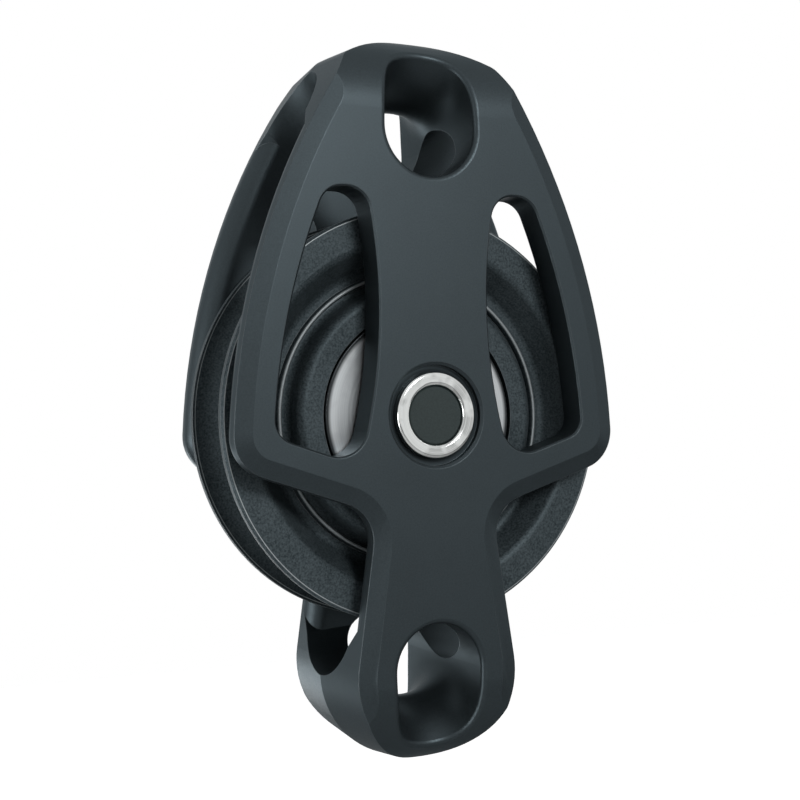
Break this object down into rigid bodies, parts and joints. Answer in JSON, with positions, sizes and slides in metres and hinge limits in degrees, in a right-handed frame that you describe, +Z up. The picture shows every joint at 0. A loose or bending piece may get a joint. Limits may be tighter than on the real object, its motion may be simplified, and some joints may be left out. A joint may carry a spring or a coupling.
{
  "type": "sailing block with becket",
  "caption": "Single sailing block: one-piece two-cheek body, roller-bearing sheave on a tubular axle, tunnel head and becket for soft loops.",
  "frame": {"origin": "the middle of the head tunnel, on the block's centre line and middle plane", "axes": "+Z up from the becket towards the head, Y along the axle with the front face towards -Y, X across the cheeks"},
  "size_m": [0.057, 0.024, 0.0997],
  "materials": {
    "body_anodised": "satin dark grey anodised",
    "sheave_anodised": "bead-blasted dark grey anodised",
    "axle_steel": "polished stainless steel",
    "race_steel": "ground stainless steel",
    "plate_silver": "polished silver",
    "plug_black": "matt black",
    "spacer_plastic": "matt black acetal",
    "roller_plastic": "dull olive-brown engineering plastic",
    "ball_plastic": "ivory acetal",
    "cage_plastic": "matt black acetal"
  },
  "bodies": {
    "frame": {"body": "body_anodised", "axle": "axle_steel", "plug_front": "plug_black", "plug_rear": "plug_black", "inner_race": "race_steel", "side_plate_front": "plate_silver", "side_plate_rear": "plate_silver", "spacer_front": "spacer_plastic", "spacer_rear": "spacer_plastic"},
    "sheave": {"sheave": "sheave_anodised"},
    "roller_cage": {"roller_cage": "cage_plastic"},
    "ball_ring_front": {"side_balls_front": "ball_plastic", "ball_retainer_front": "cage_plastic"},
    "ball_ring_rear": {"side_balls_rear": "ball_plastic", "ball_retainer_rear": "cage_plastic"},
    "roller_01": {"roller_01": "roller_plastic"},
    "roller_02": {"roller_02": "roller_plastic"},
    "roller_03": {"roller_03": "roller_plastic"},
    "roller_04": {"roller_04": "roller_plastic"},
    "roller_05": {"roller_05": "roller_plastic"},
    "roller_06": {"roller_06": "roller_plastic"},
    "roller_07": {"roller_07": "roller_plastic"},
    "roller_08": {"roller_08": "roller_plastic"},
    "roller_09": {"roller_09": "roller_plastic"},
    "roller_10": {"roller_10": "roller_plastic"},
    "roller_11": {"roller_11": "roller_plastic"},
    "roller_12": {"roller_12": "roller_plastic"},
    "roller_13": {"roller_13": "roller_plastic"},
    "roller_14": {"roller_14": "roller_plastic"},
    "roller_15": {"roller_15": "roller_plastic"},
    "roller_16": {"roller_16": "roller_plastic"}
  },
  "joints": [
    {"name": "sheave_spin", "type": "hinge", "parent": "frame", "child": "sheave", "pos_m": [0, 0, -0.0377], "axis": [0, 1, 0], "continuous": true},
    {"name": "cage_spin", "type": "hinge", "parent": "frame", "child": "roller_cage", "pos_m": [0, 0, -0.0377], "axis": [0, 1, 0], "continuous": true},
    {"name": "ball_ring_front_spin", "type": "hinge", "parent": "frame", "child": "ball_ring_front", "pos_m": [0, 0, -0.0377], "axis": [0, 1, 0], "continuous": true},
    {"name": "ball_ring_rear_spin", "type": "hinge", "parent": "frame", "child": "ball_ring_rear", "pos_m": [0, 0, -0.0377], "axis": [0, 1, 0], "continuous": true},
    {"name": "roller_01_spin", "type": "hinge", "parent": "roller_cage", "child": "roller_01", "pos_m": [0, 0, -0.02767], "axis": [0, 1, 0], "continuous": true},
    {"name": "roller_02_spin", "type": "hinge", "parent": "roller_cage", "child": "roller_02", "pos_m": [0.00384, 0, -0.02843], "axis": [0, 1, 0], "continuous": true},
    {"name": "roller_03_spin", "type": "hinge", "parent": "roller_cage", "child": "roller_03", "pos_m": [0.00709, 0, -0.03061], "axis": [0, 1, 0], "continuous": true},
    {"name": "roller_04_spin", "type": "hinge", "parent": "roller_cage", "child": "roller_04", "pos_m": [0.00927, 0, -0.03386], "axis": [0, 1, 0], "continuous": true},
    {"name": "roller_05_spin", "type": "hinge", "parent": "roller_cage", "child": "roller_05", "pos_m": [0.01003, 0, -0.0377], "axis": [0, 1, 0], "continuous": true},
    {"name": "roller_06_spin", "type": "hinge", "parent": "roller_cage", "child": "roller_06", "pos_m": [0.00927, 0, -0.04154], "axis": [0, 1, 0], "continuous": true},
    {"name": "roller_07_spin", "type": "hinge", "parent": "roller_cage", "child": "roller_07", "pos_m": [0.00709, 0, -0.04479], "axis": [0, 1, 0], "continuous": true},
    {"name": "roller_08_spin", "type": "hinge", "parent": "roller_cage", "child": "roller_08", "pos_m": [0.00384, 0, -0.04697], "axis": [0, 1, 0], "continuous": true},
    {"name": "roller_09_spin", "type": "hinge", "parent": "roller_cage", "child": "roller_09", "pos_m": [0, 0, -0.04773], "axis": [0, 1, 0], "continuous": true},
    {"name": "roller_10_spin", "type": "hinge", "parent": "roller_cage", "child": "roller_10", "pos_m": [-0.00384, 0, -0.04697], "axis": [0, 1, 0], "continuous": true},
    {"name": "roller_11_spin", "type": "hinge", "parent": "roller_cage", "child": "roller_11", "pos_m": [-0.00709, 0, -0.04479], "axis": [0, 1, 0], "continuous": true},
    {"name": "roller_12_spin", "type": "hinge", "parent": "roller_cage", "child": "roller_12", "pos_m": [-0.00927, 0, -0.04154], "axis": [0, 1, 0], "continuous": true},
    {"name": "roller_13_spin", "type": "hinge", "parent": "roller_cage", "child": "roller_13", "pos_m": [-0.01003, 0, -0.0377], "axis": [0, 1, 0], "continuous": true},
    {"name": "roller_14_spin", "type": "hinge", "parent": "roller_cage", "child": "roller_14", "pos_m": [-0.00927, 0, -0.03386], "axis": [0, 1, 0], "continuous": true},
    {"name": "roller_15_spin", "type": "hinge", "parent": "roller_cage", "child": "roller_15", "pos_m": [-0.00709, 0, -0.03061], "axis": [0, 1, 0], "continuous": true},
    {"name": "roller_16_spin", "type": "hinge", "parent": "roller_cage", "child": "roller_16", "pos_m": [-0.00384, 0, -0.02843], "axis": [0, 1, 0], "continuous": true}
  ],
  "couplings": [
    {"joint": "cage_spin", "follows": "sheave_spin", "ratio": 0.57627},
    {"joint": "ball_ring_front_spin", "follows": "sheave_spin", "ratio": 0.5},
    {"joint": "ball_ring_rear_spin", "follows": "sheave_spin", "ratio": 0.5},
    {"joint": "roller_01_spin", "follows": "sheave_spin", "ratio": 3.2655},
    {"joint": "roller_02_spin", "follows": "sheave_spin", "ratio": 3.2655},
    {"joint": "roller_03_spin", "follows": "sheave_spin", "ratio": 3.2655},
    {"joint": "roller_04_spin", "follows": "sheave_spin", "ratio": 3.2655},
    {"joint": "roller_05_spin", "follows": "sheave_spin", "ratio": 3.2655},
    {"joint": "roller_06_spin", "follows": "sheave_spin", "ratio": 3.2655},
    {"joint": "roller_07_spin", "follows": "sheave_spin", "ratio": 3.2655},
    {"joint": "roller_08_spin", "follows": "sheave_spin", "ratio": 3.2655},
    {"joint": "roller_09_spin", "follows": "sheave_spin", "ratio": 3.2655},
    {"joint": "roller_10_spin", "follows": "sheave_spin", "ratio": 3.2655},
    {"joint": "roller_11_spin", "follows": "sheave_spin", "ratio": 3.2655},
    {"joint": "roller_12_spin", "follows": "sheave_spin", "ratio": 3.2655},
    {"joint": "roller_13_spin", "follows": "sheave_spin", "ratio": 3.2655},
    {"joint": "roller_14_spin", "follows": "sheave_spin", "ratio": 3.2655},
    {"joint": "roller_15_spin", "follows": "sheave_spin", "ratio": 3.2655},
    {"joint": "roller_16_spin", "follows": "sheave_spin", "ratio": 3.2655}
  ]
}
